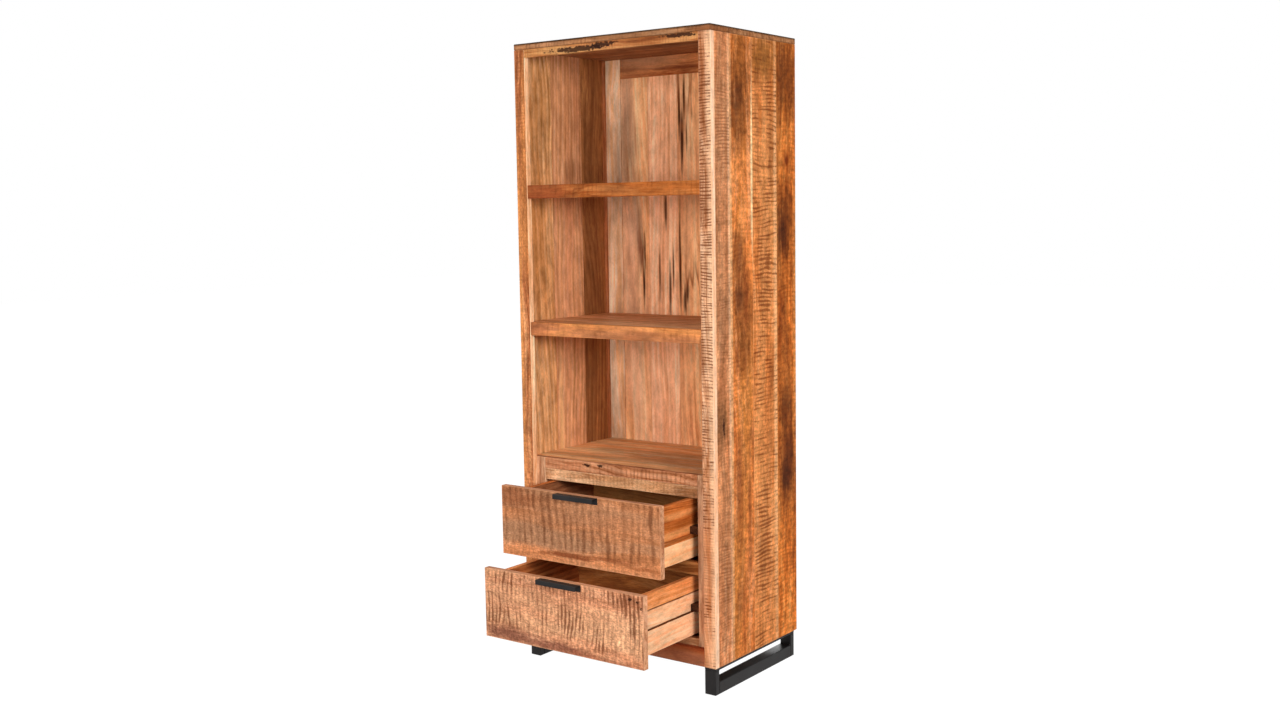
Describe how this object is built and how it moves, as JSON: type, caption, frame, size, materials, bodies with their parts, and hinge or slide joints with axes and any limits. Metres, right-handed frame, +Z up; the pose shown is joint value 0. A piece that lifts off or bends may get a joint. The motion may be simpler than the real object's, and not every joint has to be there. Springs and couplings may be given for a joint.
{
  "type": "bookcase with drawers",
  "caption": "Tall solid-wood bookcase with open shelves over pull-out drawers, standing on low black steel leg frames, with folded black edge pulls.",
  "frame": {"origin": "on the floor, under the middle of the case's footprint (drawers left out)", "axes": "+X from the left end to the right end as seen from the front, +Y from the front to the back, +Z up; the drawers pull out along -Y"},
  "size_m": [0.71, 0.7505, 1.9],
  "materials": {
    "rough_wood": "rough-sawn, thin satin varnish",
    "smooth_wood": "planed, satin varnish",
    "back_wood": "planed, satin varnish",
    "drawer_front_wood": "rough-sawn, thin satin varnish",
    "drawer_box_wood": "planed, satin varnish",
    "black_steel": "matt black powder coat",
    "zinc_steel": "zinc plated"
  },
  "bodies": {
    "case": {"back_board_1": "back_wood", "back_board_2": "back_wood", "back_board_3": "back_wood", "back_board_4": "back_wood", "back_board_5": "back_wood", "back_bottom_rail": "back_wood", "back_left_stile": "back_wood", "back_right_stile": "back_wood", "back_screws": "zinc_steel", "back_top_rail": "back_wood", "bottom_board": "smooth_wood", "bottom_front_rail": "rough_wood", "chest_bottom_rail": "smooth_wood", "deck_board": "smooth_wood", "deck_front_rail": "smooth_wood", "left_chest_stile": "smooth_wood", "left_front_stile": "rough_wood", "left_leg_foot_rail": "black_steel", "left_leg_front_post": "black_steel", "left_leg_rear_post": "black_steel", "left_leg_top_bar": "black_steel", "left_rear_post": "drawer_box_wood", "left_side_panel": "rough_wood", "leg_screws": "zinc_steel", "lower_left_runner": "drawer_box_wood", "lower_right_runner": "drawer_box_wood", "lower_shelf": "smooth_wood", "lower_shelf_lipping": "rough_wood", "middle_drawer_rail": "smooth_wood", "right_chest_stile": "smooth_wood", "right_front_stile": "rough_wood", "right_leg_foot_rail": "black_steel", "right_leg_front_post": "black_steel", "right_leg_rear_post": "black_steel", "right_leg_top_bar": "black_steel", "right_rear_post": "drawer_box_wood", "right_side_panel": "rough_wood", "runner_screws": "zinc_steel", "top_board": "rough_wood", "top_front_rail": "rough_wood", "upper_drawer_rail": "smooth_wood", "upper_left_runner": "drawer_box_wood", "upper_right_runner": "drawer_box_wood", "upper_shelf": "smooth_wood", "upper_shelf_lipping": "rough_wood"},
    "upper_drawer": {"upper_drawer_back": "drawer_box_wood", "upper_drawer_bottom": "drawer_box_wood", "upper_drawer_front": "drawer_front_wood", "upper_drawer_left_side": "drawer_box_wood", "upper_drawer_pull_handle": "black_steel", "upper_drawer_right_side": "drawer_box_wood", "upper_pull_screws": "black_steel"},
    "lower_drawer": {"lower_drawer_back": "drawer_box_wood", "lower_drawer_bottom": "drawer_box_wood", "lower_drawer_front": "drawer_front_wood", "lower_drawer_left_side": "drawer_box_wood", "lower_drawer_pull_handle": "black_steel", "lower_drawer_right_side": "drawer_box_wood", "lower_pull_screws": "black_steel"}
  },
  "joints": [
    {"name": "upper_drawer_slide", "type": "slide", "parent": "case", "child": "upper_drawer", "axis": [0, -1, 0], "range_m": [-0.176, 0.144]},
    {"name": "lower_drawer_slide", "type": "slide", "parent": "case", "child": "lower_drawer", "axis": [0, -1, 0], "range_m": [-0.26, 0.06]}
  ]
}
